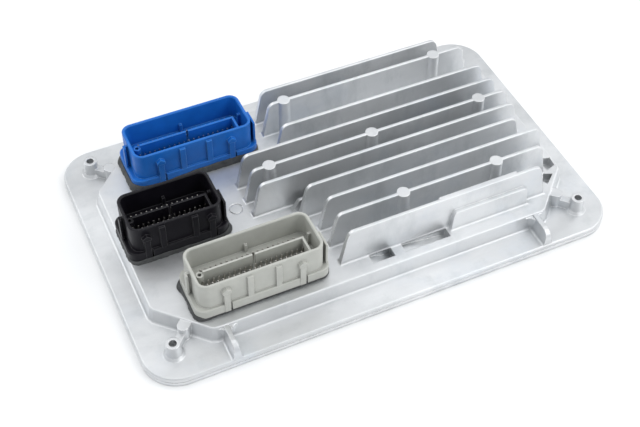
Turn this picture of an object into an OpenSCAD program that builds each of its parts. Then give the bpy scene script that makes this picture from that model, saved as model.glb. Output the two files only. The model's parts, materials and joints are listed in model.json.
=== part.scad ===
/* [Plate and cover] */
// Length of the flange and of the base cover, along X
plate_l = 240; // [225:1:270]
// Width of the flange and of the base cover, along Y
plate_w = 151; // [146:1:170]
// Corner radius of the flange and of the base cover
plate_r = 17; // [8:0.5:20]
// Thickness of the cast flange
flange_t = 2.4; // [2:0.1:4]
// Chamfer round the upper edge of the flange
flange_chamfer = 0.6; // [0.3:0.1:1.2]
// Thickness of the base cover
cover_t = 2; // [1.8:0.1:3]
// Thickness of the bead that seals the cover to the flange
seal_t = 0.3; // [0.2:0.05:0.6]

/* [Raised body] */
// Distance from the plate's ends to the foot of the raised body
body_inset_x = 10.5; // [8:0.5:14]
// Distance from the plate's long sides to the foot of the raised body
body_inset_y = 13; // [11:0.5:15]
// Height of the raised body above the flange
body_h = 8; // [7:0.5:12]
// How far the body's walls lean in over their height
body_draft = 1.3; // [0.5:0.1:2]
// Length cut off each corner of the body, along X and along Y
corner_cut = 23; // [21:0.5:26]
// Thickness of the deck, the body's top wall
deck_t = 2.6; // [2:0.1:3.5]
// Thickness of the body's side walls
wall_t = 3; // [2:0.1:4]
// Radius on the upper edges of the body
edge_r = 0.8; // [0.4:0.1:1.5]

/* [Corner bosses] */
// Distance of each boss from the two plate edges beside it
boss_inset = 14.7; // [13:0.1:16]
// Radius of a boss at its top
boss_r = 3.3; // [3:0.1:4]
// Radius of the bore that takes a cover screw
boss_bore_r = 1.8; // [1.5:0.05:2.2]
// Width of the web that ties a boss to the body
web_w = 3.6; // [2:0.2:5]
// Height of that web above the flange
web_h = 4.6; // [2:0.2:6]

/* [Cooling fins] */
// Height of the fins above the deck
fin_h = 20; // [12:0.5:26]
// Thickness of a fin at its top
fin_t = 1.8; // [1.2:0.1:2.6]
// How far each side of a fin leans in over its height
fin_draft = 0.5; // [0.2:0.1:0.9]
// How far the end of a fin leans in over its height
fin_end_run = 4; // [1:0.5:6]
// Radius on the upper corners of a fin
fin_corner_r = 4.5; // [2:0.5:6]
// Radius of the fillet along the foot of a fin
fin_root_r = 1.2; // [0.6:0.1:1.6]
// Gap between the connectors and the fins that start beside them
fin_gap = 6.5; // [5.5:0.5:10]
// How much further to the left the three middle fins reach
fin_reach = 25.5; // [20:0.5:27]
// Radius of the ejector posts that stand in the fins
post_r = 3.2; // [2.5:0.1:3.6]

/* [Connectors] */
// Outer length of the two long connectors at the rim
long_l = 61; // [56:0.5:63]
// Outer length of the short connector at the rim
short_l = 45; // [40:0.5:46]
// Outer width of the connectors at the rim
conn_w = 24.6; // [23:0.2:26]
// Corner radius of the connectors' outside
conn_r = 5; // [3.5:0.5:7]
// Wall thickness of the connectors
conn_wall = 1.5; // [1.2:0.1:2.4]
// Distance from the foot of the body's left wall to the middle of the long connectors
long_inset = 51; // [47:0.5:54]
// Distance from the foot of the body's left wall to the middle of the short connector
short_inset = 26.5; // [26:0.5:30]
// Mean distance from the foot of the body's long walls to the sides of the outer connectors
conn_edge = 7.2; // [6.2:0.2:9]
// How far the middle connector stands behind the part's middle line
conn_shift = 1; // [0:0.2:2]
// Thickness of the sealing bead under the connectors
bead_t = 1.6; // [1:0.1:2]
// Height of the connectors from the bead to the rim
conn_h = 19.7; // [18.5:0.1:24]
// Height of the skirt round the foot of a connector
skirt_h = 4.9; // [3:0.1:6]
// How far the skirt stands out along the long sides
skirt_side = 1.3; // [0.6:0.1:1.6]
// How far the skirt stands out at the two ends
skirt_end = 2.4; // [2:0.1:3]
// Depth of the plug's hollow below the rim
socket_depth = 13; // [10:0.5:14.5]
// Height of the dividing wall above the hollow's floor
divider_h = 9.2; // [8:0.1:10]
// Thickness of the dividing wall
divider_t = 1; // [0.8:0.1:1.4]
// Distance from one pin to the next along a row
pin_pitch = 2.54; // [2.4:0.02:2.6]
// Distance from one row of pins to the next
row_pitch = 2.2; // [2:0.1:2.6]
// Pins in each inner row of a long connector
long_columns = 20; // [14:1:21]
// Pins in each inner row of the short connector
short_columns = 15; // [8:1:15]
// Width of a pin
pin_w = 1; // [0.6:0.1:1.2]
// Thickness of a pin
pin_t = 0.64; // [0.5:0.02:0.8]
// Height of the pins above the hollow's floor
pin_h = 5; // [4:0.1:8]

/* [Circuit board] */
// Thickness of the board
board_t = 1.6; // [1.2:0.1:2]
// Gap between the cover and the board
board_gap = 1.6; // [1.5:0.1:2.2]
// Gap between the board's edge and the cavity's wall
board_clear = 0.8; // [0.5:0.1:1.5]
// Radius of the board's standoffs
standoff_r = 3; // [2.6:0.1:3.4]
// Radius of the board screws
board_screw_r = 1.2; // [1:0.05:1.4]
// Height of the driver chips
driver_h = 2.4; // [1.6:0.1:2.8]
// Thickness of the thermal pads on the driver chips
pad_t = 0.8; // [0.5:0.1:1.2]

/* [Hidden] */
$fn = 48;

// A little more than nothing, so that cuts run past the faces they open
eps = 0.1;

// Levels, measured up from the underside of the cover
z_flange = cover_t + seal_t;
z_plate = z_flange + flange_t;
z_deck = z_plate + body_h;
z_ceiling = z_deck - deck_t;
z_board = cover_t + board_gap;
z_board_top = z_board + board_t;
z_skirt = z_deck + bead_t;
z_rim = z_skirt + conn_h;
z_floor = z_rim - socket_depth;

// The raised body and the cavity under it
body_l = plate_l - 2 * body_inset_x;
body_w = plate_w - 2 * body_inset_y;
cavity_right_wall = 17.5;
cavity_front_wall = 14.5;
cavity_x0 = -body_l / 2 + wall_t;
cavity_x1 = body_l / 2 - cavity_right_wall;
cavity_y0 = -body_w / 2 + wall_t;
cavity_y1 = body_w / 2 - wall_t;
cavity_step_y = -body_w / 2 + cavity_front_wall;

// Corner bosses
boss_x = plate_l / 2 - boss_inset;
boss_y = plate_w / 2 - boss_inset;
boss_flare = 0.6;
// Upright lobe on the body where the web of a boss meets it: radius of its front, how far the middle of
// that radius stands out, and drop of its top
lobe_r = 2.8;
lobe_out = 1.5;
lobe_drop = 0.5;
// How much the body's upright edges are softened, and the fillet along its foot
soften = 0.6;
body_root_r = 1.2;
// Height and width of the cone round the foot of a boss
boss_foot = 1.2;

// Places of the ribs either side of a connector's middle: [inner rib, outer rib]
long_ribs = [6.85, 18.4];
short_ribs = [8, 15.9];
// Connector places: [x, y, rim length, pins in an inner row, rib places]
long_x = -body_l / 2 + long_inset;
short_x = -body_l / 2 + short_inset;
conn_pitch = body_w / 2 - conn_edge - conn_w / 2;
BLUE = [long_x, conn_shift + conn_pitch, long_l, long_columns, long_ribs];
BLACK = [short_x, conn_shift, short_l, short_columns, short_ribs];
GREY = [long_x, conn_shift - conn_pitch, long_l, long_columns, long_ribs];
CONNECTORS = [BLUE, BLACK, GREY];

// The part of a connector that goes down through the deck
stem_inset = 2;
stem_clear = 0.4;
stem_w = conn_w - 2 * stem_inset;
function stem_l(c) = c[2] - 2 * stem_inset;
skirt_w = conn_w + 2 * skirt_side;
function skirt_l(c) = c[2] + 2 * skirt_end;
// Chamfer round the outside of the connectors' rim and skirt, and round the mouth of their hollow
rim_chamfer = 0.4;
lead_in = 0.5;

// Ribs on the connectors' long sides: the inner ones end on the skirt, the outer ones run down over it
rib_step = 0.2;
inner_rib_out = skirt_side - rib_step;
outer_rib_out = skirt_side + rib_step;
// How far below the rim they stop, and their width
inner_rib_drop = 1.6;
outer_rib_drop = 3.8;
inner_rib_w = 2.8;
outer_rib_w = 2.8;
// The outer ribs end in a pointed head, and a notch runs down through the skirt at their right
rib_head_w = 4.2;
rib_head_h = 3;
rib_head_out = outer_rib_out + 2 * rib_step;
notch_w = 0.9;
notch_depth = 0.9;
// Hooked guide rails on a connector's ends:
// [end, front edge before the middle, length, gap between lip and end wall]
END_RAILS = [[-1, 1.4, 2.6, 1.2], [1, 10.3, 9, 0.6]];
rail_t = 1;
rail_root = 1.2;
rail_drop = 2;
rail_foot = 1;

// Pin rows lie either side of the dividing wall: [y, 1 for a row half a pitch aside and one pin shorter]
row_near = 2.3;
row_far = row_near + row_pitch;
PIN_ROWS = [[-row_far, 1], [-row_near, 0], [row_near, 0], [row_far, 1]];
pin_tail = 1;
pin_tip = 0.8;
pin_hole_r = norm([pin_w, pin_t]) / 2 + 0.06;
divider_margin = 1.2;
divider_slot = 1.2;
key_w = 1.4;
key_h = 4.7;
end_key_h = 7.5;
end_key_y = 2.5;
// Hollow post beside the left end of the dividing wall
ring_r = 1.8;
ring_bore = 0.9;
ring_h = 7.6;
ring_wrap = 0.3;

// Fin rows from back to front
fin_start = long_x + long_l / 2 + skirt_end + fin_gap;
fin_start_mid = fin_start - fin_reach;
fin_start_seven = fin_start - 5.5;
fin_end = body_l / 2 - body_draft;
// Each row: [share of the body's half width, left foot, gap between right foot and body end]
FIN_ROWS = [
  [0.845, fin_start, 19],
  [0.682, fin_start, 9],
  [0.413, fin_start, 7],
  [0.230, fin_start_mid, 6],
  [0.062, fin_start_mid, 5],
  [-0.098, fin_start_mid, 6],
  [-0.256, fin_start_seven, 11],
  [-0.430, fin_start, 4],
  [-0.608, fin_start, 9.5],
  [-0.797, fin_start, 17]
];
// The same rows as [y, left foot, right foot]
FINS = [for (f = FIN_ROWS) [f[0] * body_w / 2, f[1], fin_end - f[2]]];
back_pair = 1;
middle_row = 4;
front_pair = 8;
front_row = 9;
// Places of the posts: [fin row, share of the way from its left foot to its right foot]
POSTS = [
  [back_pair, 0.102], [back_pair, 0.824],
  [middle_row, 0.089], [middle_row, 0.46], [middle_row, 0.867],
  [front_pair, 0.325], [front_pair, 0.751]
];
top_round = 0.45;

// Thick ribs cast against the front fin:
// [y offset from the fin, x from the body's right end, length, height, thickness]
front_pad = [-1.9, 70, 42, 10.8, 3];
back_pad = [1, 77, 45, fin_h, 2];
pad_run = 1.2;
pad_corner = 1.6;
// A low rib in the valley between the sixth and the seventh fin
valley_row = 5;
valley_rib = [-5, 30, 6.5];
valley_start = 18;

// Walls that bound the trough along the front: place, thickness at the top, draft, drop below the deck
// and radius of the front end
trough_gap = 6.1;
trough_x = body_l / 2 - corner_cut - trough_gap;
trough_t = 2.3;
trough_lean = 1;
trough_drop = 0.2;
trough_end_r = 5;
// Fillets between these walls and the body: [side towards the trough, outer side]
trough_fillets = [4, 2.5];

// Pockets cored into the deck before the front fin, deeper at the right:
// [distance from the fins' right end, length]
ledge_pockets = [[113, 11.5], [96, 24]];
ledge_pocket_w = 5.4;
pocket_shallow = 1;
pocket_depth = 4.6;
// Two pockets in the deck's front right corner: points as [left of the body's end, behind the body's front]
CORNER_POCKETS = [
  [[6.5, 31.8], [2.4, 30.9], [2.9, 25.5], [8.2, 23.9], [8.6, 27.7]],
  [[11.3, 22.6], [14.3, 18.2], [12.9, 15.8], [6.9, 20.7]]
];

// Mark left by an ejector pin on the deck
eject_out = 8;
eject_x = long_x + eject_out;
eject_r = 3.4;
eject_groove = 0.5;
eject_depth = 0.25;

// Cover screws with countersunk heads
screw_clear = 0.05;
screw_r = boss_bore_r - screw_clear;
head_r = 3.4;
head_sunk = 0.1;
tip_drop = 3.7;
hex_r = 1.2;
hex_depth = 1;
seal_edge = 0.5;
seal_lip = 1;
seal_hole_r = boss_bore_r + 0.6;

// How far each bead stands out past its skirt: [left, right, front, back]
BLUE_BEAD = [1.2, 0.2, 0.3, 0.3];
BLACK_BEAD = [0, 1.2, 0.4, 0.4];
GREY_BEAD = [0.8, 0.2, -0.7, 0.3];
stem_r = 3;

// The board, its standoffs and the room above it
step_gap = 5;
step_x = long_x + long_l / 2 + step_gap;
// Distances of the standoffs from the cavity's walls and from the long connectors
seat_edge = 6.5;
seat_side = 7;
seat_back = 22;
seat_front = 28;
seat_near = 13;
seat_far = 24;
seat_mid = 15;
side_x = cavity_x0 + seat_side;
mid_x = long_x + long_l / 2 - seat_mid;
mid_y = (conn_pitch + conn_shift) / 2;
STANDOFFS = [
  [side_x, cavity_y1 - seat_back], [side_x, cavity_y0 + seat_front],
  [mid_x, mid_y], [mid_x, conn_shift - mid_y],
  [step_x + seat_near, cavity_y1 - seat_edge], [cavity_x1 - seat_far, cavity_y1 - seat_edge],
  [step_x + seat_near, cavity_step_y + seat_edge], [cavity_x1 - seat_edge, cavity_step_y + seat_edge]
];
screw_head_h = 1.2;
screw_head_r = 2.4;
screw_grip = 3.4;
pilot_clear = 0.05;
hole_clear = 0.15;
part_room = z_ceiling - z_board_top;
tall_h = part_room - 0.5;
fin_zone_gap = 22;
fin_zone_x = step_x + fin_zone_gap;
// Sizes of the parts on the board
driver_size = [15, 11, driver_h];
mcu_size = [26, 26, 1.8];
flash_size = [14, 12, 1.2];
power_size = [10, 9, tall_h];
inductor_size = [10, 10, tall_h];
can_r = 4;
crystal_size = [11, 4.6, 3.6];
sensor_size = [7, 7, 2.6];
sensor_port_r = 0.6;
sensor_port_depth = 1.2;
bus_size = [5, 4, 1.6];
diode_size = [7, 6, 2.3];
ceramic_size = [3.2, 1.6, 1.2];
// Distances between like parts
driver_pitch = 22;
power_pitch = 13.5;
inductor_pitch = 13;
can_pitch = 10;
bus_pitch = 9;
diode_pitch = 10;
ceramic_pitch = [6, 4];
// Places of the parts along the board, measured from the start of the fin zone
mcu_out = 22;
power_out = 2;
small_out = -6;
can_out = 46;
inductor_out = 50;
bus_out = -28;
diode_out = -17;
regulator_gap = 14;
// Rows of parts across the board, by their share of the way from the cavity's front wall to its back wall
function row_y(share) = cavity_step_y + share * (cavity_y1 - cavity_step_y);
driver_y = row_y(0.19);
ceramic_y = row_y(0.29);
inductor_y = row_y(0.39);
crystal_y = row_y(0.41);
bus_y = row_y(0.335);
sensor_y = row_y(0.5);
can_y = row_y(0.56);
mcu_y = row_y(0.615);
flash_y = row_y(0.65);
regulator_y = row_y(0.67);
power_y = row_y(0.815);
DRIVERS = [for (i = [0 : 3]) [fin_zone_x + i * driver_pitch, driver_y]];

// Outlines

module rounded_rect(l, w, r) {
  square([l - 2 * r, w], center = true);
  square([l, w - 2 * r], center = true);
  for (x = [-1, 1], y = [-1, 1])
    translate([x * (l / 2 - r), y * (w / 2 - r)])
      circle(r);
}

// Points of an arc about a centre, from one angle to another
function arc(cx, cy, r, a0, a1, n = 5) =
  [for (i = [0 : n]) [cx + r * cos(a0 + (a1 - a0) * i / n), cy + r * sin(a0 + (a1 - a0) * i / n)]];

// Section that stands on y = 0 with leaning sides, rounded upper corners and a fillet along its foot
module leaning_section(w, h, lean, r_top, r_foot = 0) {
  a = atan(lean / h);
  k = tan((90 - a) / 2);
  x_top = w / 2 - lean - k * r_top;
  x_foot = w / 2 + k * r_foot;
  polygon(concat(
    [[-x_foot, -eps], [x_foot, -eps]],
    r_foot > 0 ? arc(x_foot, r_foot, r_foot, 270, 180 + a) : [[w / 2, 0]],
    arc(x_top, h - r_top, r_top, a, 90),
    arc(-x_top, h - r_top, r_top, 90, 180 - a),
    r_foot > 0 ? arc(-x_foot, r_foot, r_foot, -a, -90) : [[-w / 2, 0]]
  ));
}

// A plate with round corners whose upper edge is chamfered
module chamfered_plate(l, w, r, h, c) {
  linear_extrude(h - c)
    rounded_rect(l, w, r);
  translate([0, 0, h - c]) {
    for (x = [-1, 1], y = [-1, 1])
      translate([x * (l / 2 - r), y * (w / 2 - r), 0])
        cylinder(r1 = r, r2 = r - c, h = c);
    rotate([90, 0, 0])
      linear_extrude(w - 2 * r, center = true)
        polygon([[-l / 2, 0], [l / 2, 0], [l / 2 - c, c], [-l / 2 + c, c]]);
    rotate([90, 0, 90])
      linear_extrude(l - 2 * r, center = true)
        polygon([[-w / 2, 0], [w / 2, 0], [w / 2 - c, c], [-w / 2 + c, c]]);
  }
}

// A wall section swept along X or, with turn = 90, along Y
module ridge(w, h, lean, r_top, r_foot, l, turn) {
  rotate([90, 0, turn])
    linear_extrude(l, center = true)
      leaning_section(w, h, lean, r_top, r_foot);
}

// How far the outline of a block with cut corners reaches in the direction a
function outline_reach(l, w, cut, a) =
  max(l / 2 * cos(a) + (w / 2 - cut) * sin(a), (l / 2 - cut) * cos(a) + w / 2 * sin(a));

// A block with leaning walls, cut corners and softened upright edges
module leaning_block(l, w, h, cut, lean, r) {
  intersection_for(i = [0 : 7]) {
    a = 22.5 * i;
    near = a > 90 ? 180 - a : a;
    half = outline_reach(l, w, cut, near) - (i % 2) * soften;
    ridge(2 * half, h, lean, r, body_root_r, l + w, a);
  }
}

// Floor plan of the cavity, grown by g on every side
module cavity_plan(g) {
  across = sqrt(2) * (body_l / 2 + body_w / 2 - corner_cut) - 2 * wall_t;
  intersection() {
    polygon([
      [cavity_x0 - g, cavity_y0 - g], [step_x + g, cavity_y0 - g],
      [step_x + g, cavity_step_y - g], [cavity_x1 + g, cavity_step_y - g],
      [cavity_x1 + g, cavity_y1 + g], [cavity_x0 - g, cavity_y1 + g]
    ]);
    rotate(45)
      square(across + 2 * g, center = true);
  }
}

// Housing

// A straight rib on the deck, from x0 to x1 at its foot
module fin(y, x0, x1, h, t, run, r) {
  l = x1 - x0;
  w = t + 2 * fin_draft;
  translate([(x0 + x1) / 2, y, z_deck])
    intersection() {
      ridge(l, h, run, r, fin_root_r, w + 4 * fin_root_r, 0);
      ridge(w, h, fin_draft, top_round, fin_root_r, l + 4 * fin_root_r, 90);
    }
}

module fins() {
  for (f = FINS)
    fin(f[0], f[1], f[2], fin_h, fin_t, fin_end_run, fin_corner_r);
  for (p = POSTS) {
    f = FINS[p[0]];
    translate([f[1] + p[1] * (f[2] - f[1]), f[0], z_deck - eps])
      cylinder(r1 = post_r + fin_draft, r2 = post_r, h = fin_h + eps);
  }
  for (p = [front_pad, back_pad])
    fin(FINS[front_row][0] + p[0], fin_end - p[1], fin_end - p[1] + p[2],
      min(p[3], fin_h), p[4], pad_run, pad_corner);
  valley_x = fin_start_mid + valley_start;
  fin(FINS[valley_row][0] + valley_rib[0], valley_x, valley_x + valley_rib[1],
    valley_rib[2], fin_t, fin_end_run, fin_root_r);
}

module corner_bosses() {
  lobe_x = (boss_x + boss_y - (body_l / 2 + body_w / 2 - corner_cut)) / sqrt(2);
  for (x = [-1, 1], y = [-1, 1])
    translate([x * boss_x, y * boss_y, z_plate - eps]) {
      cylinder(r1 = boss_r + boss_flare, r2 = boss_r, h = body_h + eps);
      cylinder(r1 = boss_r + boss_flare + boss_foot, r2 = boss_r + boss_flare, h = boss_foot + eps);
      rotate(atan2(-y, -x)) {
        translate([0, -web_w / 2, 0])
          cube([lobe_x, web_w, web_h + eps]);
        translate([lobe_x - lobe_out, 0, 0])
          linear_extrude(body_h - lobe_drop + eps) {
            circle(lobe_r);
            translate([0, -lobe_r])
              square([lobe_out + lobe_r, 2 * lobe_r]);
          }
      }
    }
}

module trough_ribs() {
  h = body_h - trough_drop;
  wall_y = -body_w / 2 + body_draft + edge_r;
  edge_y = -plate_w / 2 + flange_chamfer;
  for (s = [-1, 1])
    translate([s * trough_x, 0, z_plate]) {
      intersection() {
        ridge(trough_t + 2 * trough_lean, h, trough_lean, top_round, body_root_r, plate_w, 0);
        rotate([90, 0, 90])
          linear_extrude(4 * trough_t, center = true)
            polygon(concat(
              [[wall_y, h], [wall_y, -eps], [edge_y, -eps]],
              arc(edge_y + trough_end_r, h - trough_end_r, trough_end_r, 180, 90)
            ));
      }
      for (side = [0, 1])
        trough_fillet(trough_fillets[side], side == 0 ? -s : s, h - edge_r, wall_y);
    }
}

// Upright fillet in the corner between the body's front wall and one side of a trough wall
module trough_fillet(r, side, h, wall_y) {
  front_y = -body_w / 2 + edge_r;
  translate([side * trough_t / 2, 0, -eps])
    linear_extrude(h + eps)
      difference() {
        translate([min(side, 0) * r, front_y - r])
          square([r, wall_y - front_y + r]);
        translate([side * r, front_y - r])
          circle(r);
      }
}

module connector_cuts() {
  for (c = CONNECTORS)
    translate([c[0], c[1], z_ceiling - eps])
      linear_extrude(deck_t + 2 * eps)
        rounded_rect(stem_l(c) + 2 * stem_clear, stem_w + 2 * stem_clear, stem_r);
}

module deck_pockets() {
  front_face = FINS[front_row][0] - fin_t / 2 - fin_draft;
  for (p = ledge_pockets)
    translate([fin_end - p[0], front_face, z_deck])
      rotate([90, 0, 0])
        linear_extrude(ledge_pocket_w)
          polygon([[0, eps], [0, -pocket_shallow], [p[1], -pocket_depth], [p[1], eps]]);
  for (q = CORNER_POCKETS)
    translate([0, 0, z_deck - pocket_depth])
      linear_extrude(pocket_depth + eps)
        polygon([for (v = q) [body_l / 2 - v[0], v[1] - body_w / 2]]);
  translate([eject_x, conn_shift, z_deck - eject_depth])
    difference() {
      cylinder(r = eject_r, h = 2 * eject_depth);
      translate([0, 0, -eps])
        cylinder(r = eject_r - eject_groove, h = 2 * eject_depth + 2 * eps);
    }
}

module board_seats() {
  for (s = STANDOFFS)
    translate([s[0], s[1], z_board_top])
      difference() {
        cylinder(r = standoff_r, h = part_room + eps);
        translate([0, 0, -eps])
          cylinder(r = board_screw_r + pilot_clear, h = screw_grip + 2 * eps);
      }
  for (d = DRIVERS)
    translate([d[0], d[1], z_ceiling])
      translate([-driver_size[0] / 2, -driver_size[1] / 2, driver_h + pad_t - part_room])
        cube([driver_size[0], driver_size[1], part_room - driver_h - pad_t + eps]);
}

module housing() {
  color("gainsboro") {
    difference() {
      union() {
        translate([0, 0, z_flange])
          chamfered_plate(plate_l, plate_w, plate_r, flange_t, flange_chamfer);
        translate([0, 0, z_plate])
          leaning_block(body_l, body_w, body_h, corner_cut, body_draft, edge_r);
        fins();
        corner_bosses();
        trough_ribs();
      }
      translate([0, 0, z_flange - eps])
        linear_extrude(z_ceiling - z_flange + eps)
          cavity_plan(0);
      connector_cuts();
      deck_pockets();
      for (x = [-1, 1], y = [-1, 1])
        translate([x * boss_x, y * boss_y, z_flange - eps])
          cylinder(r = boss_bore_r, h = z_deck - z_flange + 2 * eps);
    }
    board_seats();
  }
}

// Cover, its seal and its screws

module base_cover() {
  color("silver")
    difference() {
      linear_extrude(cover_t)
        rounded_rect(plate_l, plate_w, plate_r);
      for (x = [-1, 1], y = [-1, 1])
        translate([x * boss_x, y * boss_y, 0]) {
          translate([0, 0, -eps])
            cylinder(r = boss_bore_r, h = cover_t + 2 * eps);
          translate([0, 0, -eps])
            cylinder(
              r1 = head_r + head_sunk + screw_clear + eps, r2 = boss_bore_r,
              h = head_r + head_sunk + screw_clear + eps - boss_bore_r
            );
        }
    }
}

module perimeter_seal() {
  color("dimgray")
    translate([0, 0, cover_t])
      linear_extrude(seal_t)
        difference() {
          rounded_rect(plate_l - 2 * seal_edge, plate_w - 2 * seal_edge, plate_r - seal_edge);
          cavity_plan(seal_lip);
          for (x = [-1, 1], y = [-1, 1])
            translate([x * boss_x, y * boss_y])
              circle(seal_hole_r);
        }
}

module cover_screws() {
  color("darkgray")
    for (x = [-1, 1], y = [-1, 1])
      translate([x * boss_x, y * boss_y, head_sunk])
        difference() {
          union() {
            cylinder(r1 = head_r, r2 = screw_r, h = head_r - screw_r);
            cylinder(r = screw_r, h = z_deck - tip_drop - head_sunk);
          }
          translate([0, 0, -eps])
            cylinder(r = hex_r, h = hex_depth + eps, $fn = 6);
        }
}

// Connectors

module pin_places(c) {
  for (row = PIN_ROWS, i = [0 : c[3] - 1 - row[1]])
    translate([c[0] + (i - (c[3] - row[1]) / 2) * pin_pitch, c[1] + row[0], 0])
      children();
}

module side_ribs(c) {
  for (side = [-1, 1], s = [-1, 1]) {
    translate([s * c[4][0], side * conn_w / 2, z_skirt])
      translate([-inner_rib_w / 2, -inner_rib_out, 0])
        cube([inner_rib_w, 2 * inner_rib_out, conn_h - inner_rib_drop]);
    translate([s * c[4][1], side * conn_w / 2, z_skirt])
      rotate([90, 0, 0]) {
        linear_extrude(2 * outer_rib_out, center = true)
          translate([-outer_rib_w / 2, 0])
            square([outer_rib_w, conn_h - outer_rib_drop - rib_head_h / 2]);
        linear_extrude(2 * rib_head_out, center = true)
          translate([0, conn_h - outer_rib_drop - rib_head_h])
            polygon([
              [-rib_head_w / 2, 0], [rib_head_w / 2, 0], [rib_head_w / 2, rib_head_h / 2],
              [0, rib_head_h], [-rib_head_w / 2, rib_head_h / 2]
            ]);
      }
  }
}

module skirt_notches(c) {
  for (side = [-1, 1], s = [-1, 1])
    translate([s * c[4][1] + outer_rib_w / 2, side * skirt_w / 2 - notch_depth, z_skirt - eps])
      cube([notch_w, 2 * notch_depth, skirt_h + 2 * eps]);
}

module end_rails(c) {
  z0 = skirt_h - rail_foot;
  h = conn_h - rail_drop - z0;
  for (r = END_RAILS)
    translate([r[0] * c[2] / 2, -r[1], z_skirt + z0 + h / 2]) {
      translate([r[0] * (r[3] + rail_t / 2), r[2] / 2, 0])
        cube([rail_t, r[2], h], center = true);
      translate([r[0] * (r[3] + rail_t - conn_wall) / 2, r[2] - rail_root / 2, 0])
        cube([r[3] + rail_t + conn_wall, rail_root, h], center = true);
    }
}

module divider(c) {
  l = (c[3] - 2) * pin_pitch + pin_w + 2 * divider_margin;
  inner = conn_w / 2 - conn_wall;
  translate([0, 0, z_floor - eps]) {
    difference() {
      translate([-l / 2, -divider_t / 2, 0])
        cube([l, divider_t, divider_h + eps]);
      translate([-divider_slot / 2, -divider_t, eps])
        cube([divider_slot, 2 * divider_t, divider_h + eps]);
    }
    translate([l / 2 - divider_t, -inner - eps, 0])
      cube([divider_t, inner + eps, divider_h + eps]);
    translate([-key_w / 2, inner - key_w, 0])
      cube([key_w, key_w + eps, key_h + eps]);
    translate([c[2] / 2 - conn_wall - key_w, end_key_y - key_w / 2, 0])
      cube([key_w + eps, key_w, end_key_h + eps]);
    translate([-l / 2 - ring_r + ring_wrap, 0, 0])
      difference() {
        cylinder(r = ring_r, h = ring_h + eps);
        translate([0, 0, 2 * eps])
          cylinder(r = ring_bore, h = ring_h);
      }
  }
}

module connector(c) {
  lip = conn_wall - lead_in;
  difference() {
    translate([c[0], c[1], 0])
      union() {
        translate([0, 0, z_board_top])
          linear_extrude(z_skirt - z_board_top + eps)
            rounded_rect(stem_l(c), stem_w, stem_r);
        difference() {
          union() {
            translate([0, 0, z_skirt]) {
              chamfered_plate(skirt_l(c), skirt_w, conn_r, skirt_h, rim_chamfer);
              chamfered_plate(c[2], conn_w, conn_r, conn_h, rim_chamfer);
            }
            side_ribs(c);
            end_rails(c);
          }
          translate([0, 0, z_floor])
            linear_extrude(socket_depth + eps)
              rounded_rect(c[2] - 2 * conn_wall, conn_w - 2 * conn_wall, conn_r - conn_wall);
          translate([0, 0, z_rim + eps])
            rotate([180, 0, 0])
              chamfered_plate(c[2] - 2 * lip, conn_w - 2 * lip, conn_r - lip, lead_in + eps, lead_in);
          skirt_notches(c);
        }
        divider(c);
      }
    pin_places(c)
      translate([-pin_w / 2, -pin_t / 2, z_board])
        cube([pin_w, pin_t, z_floor - z_board + eps]);
  }
}

module pins(c) {
  z0 = z_board - pin_tail;
  z1 = z_floor + pin_h;
  pin_places(c)
    rotate([90, 0, 0])
      linear_extrude(pin_t, center = true)
        polygon([
          [-pin_w / 2, z0], [pin_w / 2, z0], [pin_w / 2, z1 - pin_tip],
          [pin_w / 4, z1], [-pin_w / 4, z1], [-pin_w / 2, z1 - pin_tip]
        ]);
}

module bead(c, out) {
  translate([c[0], c[1], z_deck])
    linear_extrude(bead_t)
      difference() {
        translate([(out[1] - out[0]) / 2, (out[3] - out[2]) / 2])
          rounded_rect(skirt_l(c) + out[0] + out[1], skirt_w + out[2] + out[3], conn_r);
        rounded_rect(stem_l(c), stem_w, stem_r);
      }
}

module blue_connector() {
  color("royalblue")
    connector(BLUE);
}

module black_connector() {
  color([0.13, 0.13, 0.15])
    connector(BLACK);
}

module grey_connector() {
  color([0.73, 0.73, 0.69])
    connector(GREY);
}

module blue_pins() {
  color("lightgray")
    pins(BLUE);
}

module black_pins() {
  color("lightgray")
    pins(BLACK);
}

module grey_pins() {
  color("lightgray")
    pins(GREY);
}

module blue_bead() {
  color("dimgray")
    bead(BLUE, BLUE_BEAD);
}

module black_bead() {
  color("dimgray")
    bead(BLACK, BLACK_BEAD);
}

module grey_bead() {
  color("dimgray")
    bead(GREY, GREY_BEAD);
}

// Circuit board and what it carries

module circuit_board() {
  color("darkgreen")
    translate([0, 0, z_board])
      difference() {
        linear_extrude(board_t)
          cavity_plan(-board_clear);
        for (s = STANDOFFS)
          translate([s[0], s[1], -eps])
            cylinder(r = board_screw_r + hole_clear, h = board_t + 2 * eps);
        for (c = CONNECTORS)
          pin_places(c)
            translate([0, 0, -eps])
              cylinder(r = pin_hole_r, h = board_t + 2 * eps);
      }
}

module board_screws() {
  color("darkgray")
    for (s = STANDOFFS)
      translate([s[0], s[1], z_board]) {
        translate([0, 0, -screw_head_h])
          cylinder(r = screw_head_r, h = screw_head_h);
        translate([0, 0, -eps])
          cylinder(r = board_screw_r, h = board_t + screw_grip + eps);
      }
}

// A flat part of size [l, w, h] on the board
module chip(x, y, size) {
  translate([x - size[0] / 2, y - size[1] / 2, z_board_top])
    cube(size);
}

module thermal_pads() {
  color("lightpink")
    for (d = DRIVERS)
      translate([0, 0, driver_h])
        chip(d[0], d[1], [driver_size[0], driver_size[1], pad_t]);
}

module driver_chips() {
  color([0.16, 0.16, 0.17])
    for (d = DRIVERS)
      chip(d[0], d[1], driver_size);
}

module microcontroller() {
  color([0.14, 0.14, 0.15])
    chip(fin_zone_x + mcu_out, mcu_y, mcu_size);
}

module flash_memory() {
  color([0.14, 0.14, 0.15])
    chip(fin_zone_x + small_out, flash_y, flash_size);
}

module power_transistors() {
  color([0.15, 0.15, 0.16])
    for (i = [0 : 4])
      chip(fin_zone_x + power_out + i * power_pitch, power_y, power_size);
}

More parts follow.
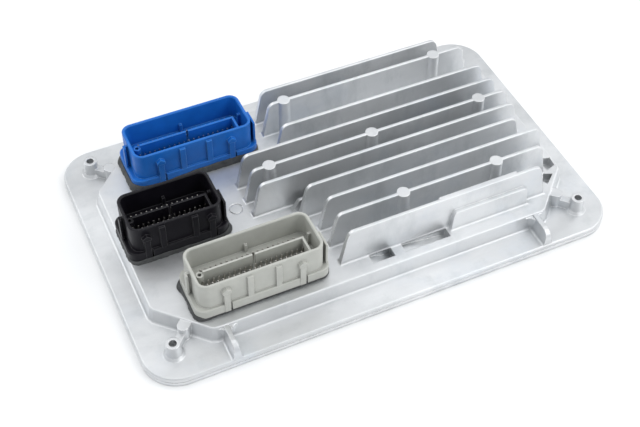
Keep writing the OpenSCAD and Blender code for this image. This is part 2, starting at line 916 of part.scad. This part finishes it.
module voltage_regulator() {
  color([0.15, 0.15, 0.16])
    chip(cavity_x1 - regulator_gap, regulator_y, power_size);
}

module electrolytic_capacitors() {
  color("silver")
    for (i = [0 : 2])
      translate([fin_zone_x + can_out + i * can_pitch, can_y, z_board_top])
        cylinder(r = can_r, h = tall_h);
}

module power_inductors() {
  color([0.3, 0.3, 0.32])
    for (i = [0, 1])
      chip(fin_zone_x + inductor_out + i * inductor_pitch, inductor_y, inductor_size);
}

module crystal() {
  color("lightgray")
    translate([fin_zone_x + mcu_out, crystal_y, z_board_top])
      linear_extrude(min(crystal_size[2], tall_h))
        rounded_rect(crystal_size[0], crystal_size[1], crystal_size[1] / 2 - eps);
}

module pressure_sensor() {
  color([0.16, 0.16, 0.17])
    difference() {
      chip(fin_zone_x + small_out, sensor_y, sensor_size);
      translate([fin_zone_x + small_out, sensor_y, z_board_top + sensor_size[2] - sensor_port_depth])
        cylinder(r = sensor_port_r, h = sensor_port_depth + eps);
    }
}

module bus_transceivers() {
  color([0.15, 0.15, 0.16])
    for (i = [0 : 2])
      chip(fin_zone_x + bus_out, bus_y + i * bus_pitch, bus_size);
}

module suppressor_diodes() {
  color([0.2, 0.2, 0.21])
    for (i = [0 : 2])
      chip(fin_zone_x + diode_out, bus_y + i * diode_pitch, diode_size);
}

module ceramic_capacitors() {
  color("tan")
    for (i = [0 : 7], j = [0, 1])
      chip(fin_zone_x + i * ceramic_pitch[0], ceramic_y + j * ceramic_pitch[1], ceramic_size);
}

housing();
base_cover();
perimeter_seal();
cover_screws();
blue_connector();
black_connector();
grey_connector();
blue_pins();
black_pins();
grey_pins();
blue_bead();
black_bead();
grey_bead();
circuit_board();
board_screws();
thermal_pads();
microcontroller();
flash_memory();
driver_chips();
power_transistors();
voltage_regulator();
electrolytic_capacitors();
power_inductors();
crystal();
pressure_sensor();
bus_transceivers();
suppressor_diodes();
ceramic_capacitors();
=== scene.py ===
"""An engine control unit: the finish of every surface, a pale floor, soft studio light and the camera."""

import json
import math

import bpy
from mathutils import Matrix, Vector


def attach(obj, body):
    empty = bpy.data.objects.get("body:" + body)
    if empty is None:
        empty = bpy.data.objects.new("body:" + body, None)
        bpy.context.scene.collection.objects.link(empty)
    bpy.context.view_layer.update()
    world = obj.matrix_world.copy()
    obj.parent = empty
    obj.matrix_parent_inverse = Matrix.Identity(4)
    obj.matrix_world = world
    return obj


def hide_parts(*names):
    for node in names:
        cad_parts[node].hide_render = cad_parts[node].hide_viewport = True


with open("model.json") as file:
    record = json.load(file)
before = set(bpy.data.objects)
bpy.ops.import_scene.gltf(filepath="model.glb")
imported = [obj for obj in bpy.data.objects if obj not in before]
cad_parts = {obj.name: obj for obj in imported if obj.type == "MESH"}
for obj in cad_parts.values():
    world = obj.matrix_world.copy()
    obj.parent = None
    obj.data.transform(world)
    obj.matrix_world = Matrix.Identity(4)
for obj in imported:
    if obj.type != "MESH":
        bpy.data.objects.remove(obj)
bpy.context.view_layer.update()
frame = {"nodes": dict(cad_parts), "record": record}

# Camera, in the photograph's frame of 640 by 427 pixels
IMAGE_W = 640
FOCAL_PX = 1150.0
SENSOR_W = 36.0
CAMERA_AT = Vector((-0.1718, -0.3500, 0.4301))
LOOK_AT = Vector((-0.0155, -0.0202, 0.0150))
ROLL_DEG = 0.875

# Light: a pale sky, and soft boxes given by name, place, width and height in metres, and power in watts
SKY_COLOUR = (0.95, 0.975, 1.0, 1)
SKY_STRENGTH = 0.71
LIT_POINT = Vector((0, 0, 0.02))
LIGHTS = (
    ("overhead", (0.0, 0.0, 1.5), (2.0, 1.0), 5.2),
    ("back_box", (0.48, 0.70, 1.5), (1.2, 1.0), 1.5),
    ("left_box", (-0.75, 0.90, 1.0), (1.0, 0.8), 4.2),
    ("right_box", (0.9, -0.95, 1.1), (1.2, 1.0), 7.4),
    ("right_side", (1.3, 0.1, 0.7), (1.0, 0.8), 3.2),
)

# Floor
FLOOR_SIZE = 6.0
FLOOR_Z = -0.0002

# Sealing beads round the connectors' skirts, in millimetres. Each one has the skirt's near left and far right
# corner, how far it stands out at the left, right, front and back, and its lumps as (x, y, reach, wider,
# higher)
MM = 0.001
DECK_Z = 12.7
BEAD_T = 1.6
BEAD_DEPTH = 2.0
BEAD_SWELL = 0.25
SKIRT_R = 5.0
PATH_STEP = 0.4
ARC_POINTS = 8
# Waves along a bead as (size, radians for each millimetre, start), in its width and in its height
WIDTH_WAVES = ((0.10, 0.9, 0.0), (0.07, 2.3, 1.0))
HEIGHT_WAVE = (0.15, 0.6, 2.0)
MEAN_CLIMB = 0.25
BEADS = {
    "blue_bead": ((-91.4, 30.4), (-25.6, 57.6), (1.0, 0.2, 0.4, 0.3),
                  ((-92, 31, 6, 0.6, 2.2), (-92, 50, 8, 0.5, 1.0),
                   (-40, 30, 16, 0.4, 2.0), (-62, 30, 8, 0.3, 0.8))),
    "black_bead": ((-107.9, -12.6), (-58.1, 14.6), (0.1, 1.0, 0.4, 0.4),
                   ((-58, 6, 5, 0.5, 0.8), (-58, -10, 4, 0.5, 0.6), (-95, -12.6, 8, 0.3, 0.5))),
    "grey_bead": ((-91.4, -55.6), (-25.6, -28.4), (0.3, 0.2, -0.6, 0.3),
                  ((-91.4, -33.5, 2.8, 1.3, 0.6), (-91.4, -47, 4, 0.5, 0.3), (-89, -55, 3, 0.6, 0.4))),
}

# Soft edges' radius and the reach of painted shade into crevices, in metres
CAST_EDGE_R = 0.0006
MOULDED_EDGE_R = 0.0005
CAST_CREVICE = 0.004
MOULDED_CREVICE = 0.003

# Tones of the casting's flow marks, stains and painted crevice shade
BLUISH_METAL = (0.64, 0.68, 0.73)
STAINED_METAL = (0.47, 0.50, 0.51)
CREVICE_SHADE_METAL = (0.24, 0.255, 0.26)


def add_camera():
    data = bpy.data.cameras.new("camera")
    data.sensor_width = SENSOR_W
    data.lens = FOCAL_PX / IMAGE_W * SENSOR_W
    data.clip_start = 0.01
    camera = bpy.data.objects.new("camera", data)
    bpy.context.collection.objects.link(camera)
    back = (CAMERA_AT - LOOK_AT).normalized()
    level = Vector((0, 0, 1)).cross(back).normalized()
    turn = Matrix.Rotation(math.radians(ROLL_DEG), 3, back)
    right = turn @ level
    up = turn @ back.cross(level)
    camera.matrix_world = Matrix.Translation(CAMERA_AT) @ Matrix((right, up, back)).transposed().to_4x4()
    bpy.context.scene.camera = camera


def add_area(name, at, size, power):
    """A rectangular soft light, turned towards the object."""
    data = bpy.data.lights.new(name, "AREA")
    data.shape = "RECTANGLE"
    data.size, data.size_y = size
    data.energy = power
    light = bpy.data.objects.new(name, data)
    bpy.context.collection.objects.link(light)
    light.location = at
    light.rotation_euler = (LIT_POINT - Vector(at)).to_track_quat("-Z", "Y").to_euler()


def add_light():
    world = bpy.data.worlds.new("studio")
    bpy.context.scene.world = world
    world.use_nodes = True
    sky = world.node_tree.nodes["Background"]
    sky.inputs["Color"].default_value = SKY_COLOUR
    sky.inputs["Strength"].default_value = SKY_STRENGTH
    for light in LIGHTS:
        add_area(*light)


class Shader:
    """A material and short calls that add nodes to it."""

    def __init__(self, name):
        self.material = bpy.data.materials.new(name)
        self.material.use_nodes = True
        self.tree = self.material.node_tree
        self.surface = self.tree.nodes["Principled BSDF"]
        self.place = self.tree.nodes.new("ShaderNodeTexCoord").outputs["Object"]

    def add(self, kind, **values):
        node = self.tree.nodes.new(kind)
        for key, value in values.items():
            setattr(node, key, value)
        return node

    def link(self, out, to):
        self.tree.links.new(out, to)

    def noise(self, scale, detail=4.0, rough=0.55, stretch=None):
        place = self.place
        if stretch:
            mapping = self.add("ShaderNodeMapping")
            mapping.inputs["Scale"].default_value = stretch
            self.link(place, mapping.inputs["Vector"])
            place = mapping.outputs["Vector"]
        node = self.add("ShaderNodeTexNoise")
        node.inputs["Scale"].default_value = scale
        node.inputs["Detail"].default_value = detail
        node.inputs["Roughness"].default_value = rough
        self.link(place, node.inputs["Vector"])
        return node.outputs["Fac"]

    def ramp(self, value, low, high, out_low=0.0, out_high=1.0):
        node = self.add("ShaderNodeMapRange")
        for key, number in zip(("From Min", "From Max", "To Min", "To Max"), (low, high, out_low, out_high)):
            node.inputs[key].default_value = number
        self.link(value, node.inputs["Value"])
        return node.outputs["Result"]

    def blend(self, share, first, second):
        """Colour or colour output first, turning into second as share goes from 0 to 1."""
        node = self.add("ShaderNodeMix", data_type="RGBA")
        self.link(share, node.inputs["Factor"])
        for value, socket in ((first, node.inputs["A"]), (second, node.inputs["B"])):
            if isinstance(value, tuple):
                socket.default_value = (*value, 1)
            else:
                self.link(value, socket)
        return node.outputs["Result"]

    def math(self, kind, first, second):
        node = self.add("ShaderNodeMath", operation=kind)
        for value, socket in ((first, node.inputs[0]), (second, node.inputs[1])):
            if isinstance(value, float):
                socket.default_value = value
            else:
                self.link(value, socket)
        return node.outputs["Value"]

    def soft_edges(self, radius):
        """A normal rounded over the edges, and how far it turns from the true one there."""
        bevel = self.add("ShaderNodeBevel", samples=6)
        bevel.inputs["Radius"].default_value = radius
        true = self.add("ShaderNodeNewGeometry").outputs["True Normal"]
        dot = self.add("ShaderNodeVectorMath", operation="DOT_PRODUCT")
        self.link(bevel.outputs["Normal"], dot.inputs[0])
        self.link(true, dot.inputs[1])
        return bevel.outputs["Normal"], self.ramp(dot.outputs["Value"], 0.98, 0.78)

    def crevices(self, reach):
        """How far a place is shut in by what stands round it, from 0 to 1."""
        node = self.add("ShaderNodeAmbientOcclusion", samples=8)
        node.inputs["Distance"].default_value = reach
        return self.math("SUBTRACT", 1.0, node.outputs["AO"])

    def bump(self, height, depth, strength, normal=None):
        node = self.add("ShaderNodeBump")
        node.inputs["Strength"].default_value = strength
        node.inputs["Distance"].default_value = depth
        self.link(height, node.inputs["Height"])
        if normal is not None:
            self.link(normal, node.inputs["Normal"])
        return node.outputs["Normal"]

    def finish(self, colour, roughness, normal, metallic=0.0):
        self.link(colour, self.surface.inputs["Base Color"])
        self.link(roughness, self.surface.inputs["Roughness"])
        self.link(normal, self.surface.inputs["Normal"])
        self.surface.inputs["Metallic"].default_value = metallic
        return self.material


def cast_metal(name, dark, light, edge_tone_and_highlight):
    """Die-cast aluminium: blasted grain, bluish flow marks, stains, painted shade in crevices and edges
    brighter from rubbing and a painted highlight.
    """
    s = Shader(name)
    rounded, wear_and_highlight = s.soft_edges(CAST_EDGE_R)
    flow = s.noise(18, 5, 0.6, (0.5, 1.4, 1.0))
    grain = s.noise(1400, 3, 0.6)
    stain = s.noise(70, 6, 0.65, (1.0, 1.0, 0.4))
    colour = s.blend(s.ramp(flow, 0.35, 0.68), dark, light)
    colour = s.blend(s.ramp(s.noise(34, 4, 0.6), 0.52, 0.70, 0.0, 0.5), colour, BLUISH_METAL)
    colour = s.blend(s.ramp(stain, 0.51, 0.72, 0.0, 0.42), colour, STAINED_METAL)
    # Painted shade: crevices darkened in patches towards a dark grey.
    patchy = s.ramp(s.noise(110, 4, 0.6), 0.36, 0.64, 0.1, 0.7)
    crevice_shade = s.math("MULTIPLY", s.ramp(s.crevices(CAST_CREVICE), 0.2, 0.7), patchy)
    colour = s.blend(crevice_shade, colour, CREVICE_SHADE_METAL)
    # Edges paler from rubbing, with a painted highlight on top.
    colour = s.blend(s.math("MULTIPLY", wear_and_highlight, 0.8), colour, edge_tone_and_highlight)
    roughness = s.ramp(s.math("ADD", flow, s.math("MULTIPLY", grain, 0.5)), 0.45, 1.0, 0.30, 0.54)
    roughness = s.math("SUBTRACT", roughness, s.math("MULTIPLY", wear_and_highlight, 0.14))
    pits = s.bump(grain, 0.00012, 0.35, rounded)
    normal = s.bump(s.noise(160, 3), 0.0004, 0.10, pits)
    return s.finish(colour, roughness, normal, 0.8)


def moulding(name, dark, light, edge_tone_and_highlight, shine=0.3):
    """Glass-filled plastic: eroded grain, slight clouding, painted shade in corners and edges paler from
    rubbing and a painted highlight.
    """
    s = Shader(name)
    rounded, wear_and_highlight = s.soft_edges(MOULDED_EDGE_R)
    cloud = s.noise(90, 5, 0.6)
    grain = s.noise(2600, 2, 0.5)
    colour = s.blend(s.ramp(cloud, 0.35, 0.68), dark, light)
    # Painted shade: corners darkened towards a darker copy of the plastic.
    corner_shade_tone = tuple(0.4 * value for value in dark)
    colour = s.blend(s.ramp(s.crevices(MOULDED_CREVICE), 0.2, 0.8, 0.0, 0.6), colour, corner_shade_tone)
    # Edges paler from rubbing, with a painted highlight on top.
    colour = s.blend(s.math("MULTIPLY", wear_and_highlight, 0.8), colour, edge_tone_and_highlight)
    roughness = s.ramp(s.math("ADD", cloud, grain), 0.7, 1.3, 0.34, 0.50)
    roughness = s.math("SUBTRACT", roughness, s.math("MULTIPLY", wear_and_highlight, 0.12))
    normal = s.bump(grain, 0.00005, 0.30, rounded)
    s.surface.inputs["Specular IOR Level"].default_value = shine
    return s.finish(colour, roughness, normal)


def cured_sealant(name, dark, light):
    """Silicone that set with a dull, slightly lumpy skin."""
    s = Shader(name)
    lump = s.noise(260, 4, 0.6)
    fine = s.noise(1800, 3, 0.6)
    colour = s.blend(s.ramp(lump, 0.35, 0.7), dark, light)
    roughness = s.ramp(fine, 0.3, 0.7, 0.50, 0.68)
    normal = s.bump(fine, 0.00006, 0.3, s.bump(lump, 0.0006, 0.5))
    return s.finish(colour, roughness, normal)


def plated(name, dark, light, gloss):
    """Plated or drawn metal with faint draw lines along its height."""
    s = Shader(name)
    lines = s.noise(900, 3, 0.6, (1.0, 1.0, 0.06))
    cloud = s.noise(300, 3)
    colour = s.blend(s.ramp(cloud, 0.35, 0.7), dark, light)
    roughness = s.ramp(lines, 0.3, 0.7, gloss - 0.07, gloss + 0.10)
    return s.finish(colour, roughness, s.bump(lines, 0.00003, 0.3), 1.0)


def speckled(name, dark, light, gloss, scale):
    """Moulded packages, pads, ceramic and laminate: two tones in a fine speckle."""
    s = Shader(name)
    speck = s.noise(scale, 4, 0.65)
    colour = s.blend(s.ramp(speck, 0.38, 0.66), dark, light)
    roughness = s.ramp(speck, 0.3, 0.7, gloss - 0.08, gloss + 0.08)
    return s.finish(colour, roughness, s.bump(speck, 0.00004, 0.3))


def pale_floor():
    s = Shader("pale_floor")
    cloud = s.noise(3, 3)
    colour = s.blend(s.ramp(cloud, 0.3, 0.7), (0.93, 0.93, 0.93), (0.95, 0.95, 0.95))
    roughness = s.ramp(cloud, 0.3, 0.7, 0.75, 0.85)
    return s.finish(colour, roughness, s.bump(s.noise(900, 2), 0.0001, 0.05))


def make_finishes():
    """One material for each slot of the record."""
    # The last colour given to cast and moulded finishes is their edge tone: rubbed wear and a painted
    # highlight.
    return {
        "cast": cast_metal("cast_aluminium", (0.63, 0.64, 0.65), (0.82, 0.83, 0.84), (0.94, 0.94, 0.94)),
        "cover": cast_metal("sheet_aluminium", (0.82, 0.83, 0.84), (0.90, 0.91, 0.92), (0.96, 0.96, 0.96)),
        "sealant": cured_sealant("dark_sealant", (0.045, 0.047, 0.047), (0.085, 0.088, 0.088)),
        "steel": plated("zinc_plate", (0.45, 0.45, 0.46), (0.60, 0.60, 0.61), 0.38),
        "blue_plastic": moulding("blue_moulding", (0.008, 0.130, 0.50), (0.012, 0.165, 0.61),
                                 (0.13, 0.40, 0.84)),
        "black_plastic": moulding("black_moulding", (0.004, 0.0033, 0.006), (0.008, 0.007, 0.011),
                                  (0.11, 0.11, 0.115), 0.22),
        "grey_plastic": moulding("grey_moulding", (0.455, 0.46, 0.425), (0.525, 0.53, 0.49),
                                 (0.72, 0.72, 0.68)),
        "pin_metal": plated("tin_plate", (0.44, 0.425, 0.40), (0.61, 0.59, 0.555), 0.29),
        "laminate": speckled("solder_mask", (0.010, 0.075, 0.030), (0.020, 0.12, 0.05), 0.35, 400),
        "pad": speckled("silicone_pad", (0.52, 0.34, 0.37), (0.62, 0.44, 0.46), 0.70, 900),
        "package": speckled("chip_package", (0.012, 0.012, 0.012), (0.030, 0.030, 0.031), 0.50, 1500),
        "can": plated("drawn_can", (0.60, 0.60, 0.61), (0.75, 0.75, 0.76), 0.30),
        "ferrite": speckled("ferrite_block", (0.05, 0.05, 0.055), (0.09, 0.09, 0.10), 0.60, 1200),
        "ceramic": speckled("fired_ceramic", (0.34, 0.22, 0.13), (0.46, 0.32, 0.20), 0.45, 1500),
    }


def dress_nodes(finishes):
    """Every node takes the material of the slot that the record gives it."""
    for part in frame["record"]["subparts"]:
        mesh = frame["nodes"][part["node"]].data
        mesh.materials.clear()
        mesh.materials.append(finishes[part["material_slot"]])


def skirt_path(low, high, radius):
    """Points round a rectangle with round corners, each with its outward direction, at even steps."""
    path = []
    corners = ((high[0], high[1], 0), (low[0], high[1], 90), (low[0], low[1], 180), (high[0], low[1], 270))
    for i, (x, y, start) in enumerate(corners):
        middle = (x - math.copysign(radius, x - (low[0] + high[0]) / 2),
                  y - math.copysign(radius, y - (low[1] + high[1]) / 2))
        turns = math.ceil(radius * math.pi / 2 / PATH_STEP)
        for k in range(turns):
            angle = math.radians(start + 90 * k / turns)
            out = (math.cos(angle), math.sin(angle))
            path.append((middle[0] + radius * out[0], middle[1] + radius * out[1], *out))
        run = (high[0] - low[0] if i % 2 == 0 else high[1] - low[1]) - 2 * radius
        angle = math.radians(start + 90)
        out = (math.cos(angle), math.sin(angle))
        along = (-out[1], out[0])
        steps = math.ceil(run / PATH_STEP)
        for k in range(steps):
            go = run * k / steps
            path.append((middle[0] + radius * out[0] + go * along[0],
                         middle[1] + radius * out[1] + go * along[1], *out))
    return path


def bead_section(width, height):
    """Section of a bead as (outward, up), swelling from the deck to the skirt's side or below its edge."""
    top = min(width, 0.0)
    climb = BEAD_T + max(0.0, height - BEAD_T) * min(1.0, max(0.0, width / 0.3))
    arc = []
    for k in range(ARC_POINTS):
        angle = math.radians(90 * k / (ARC_POINTS - 1))
        arc.append((top + (width - top + BEAD_SWELL) * math.cos(angle), climb * math.sin(angle)))
    return [(-BEAD_DEPTH, 0.0), *arc, (top - 0.02, BEAD_T), (-BEAD_DEPTH, BEAD_T)]


def add_bead(node, low, high, sides, lumps, finish):
    """Sealant squeezed out between a connector's skirt and the deck, uneven along its run."""
    left, right, front, back = sides
    rings = []
    for i, (x, y, dx, dy) in enumerate(skirt_path(low, high, SKIRT_R)):
        go = i * PATH_STEP
        width = (right if dx > 0 else left) * dx * dx + (back if dy > 0 else front) * dy * dy
        width += sum(size * math.sin(rate * go + start) for size, rate, start in WIDTH_WAVES)
        size, rate, start = HEIGHT_WAVE
        height = BEAD_T + MEAN_CLIMB + size * math.sin(rate * go + start)
        for lump_x, lump_y, reach, wider, higher in lumps:
            near = math.exp(-((x - lump_x) ** 2 + (y - lump_y) ** 2) / (2 * reach * reach))
            width += wider * near
            height += higher * near
        rings.append([((x + out * dx) * MM, (y + out * dy) * MM, (DECK_Z + up) * MM)
                      for out, up in bead_section(width, height)])
    count, around = len(rings), len(rings[0])
    faces = [(i * around + k, i * around + (k + 1) % around,
              (i + 1) % count * around + (k + 1) % around, (i + 1) % count * around + k)
             for i in range(count) for k in range(around)]
    mesh = bpy.data.meshes.new(node + "_skin")
    mesh.from_pydata([point for ring in rings for point in ring], [], faces)
    mesh.polygons.foreach_set("use_smooth", [True] * len(faces))
    mesh.materials.append(finish)
    piece = bpy.data.objects.new(node + "_skin", mesh)
    bpy.context.collection.objects.link(piece)
    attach(piece, "root")
    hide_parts(node)


def add_floor():
    bpy.ops.mesh.primitive_plane_add(size=FLOOR_SIZE, location=(0, 0, FLOOR_Z))
    floor = bpy.context.object
    floor.name = "floor"
    floor.data.materials.append(pale_floor())


bpy.context.scene.view_settings.view_transform = "Standard"
add_camera()
add_light()
add_floor()
finishes = make_finishes()
dress_nodes(finishes)
for node, bead in BEADS.items():
    add_bead(node, *bead, finishes["sealant"])
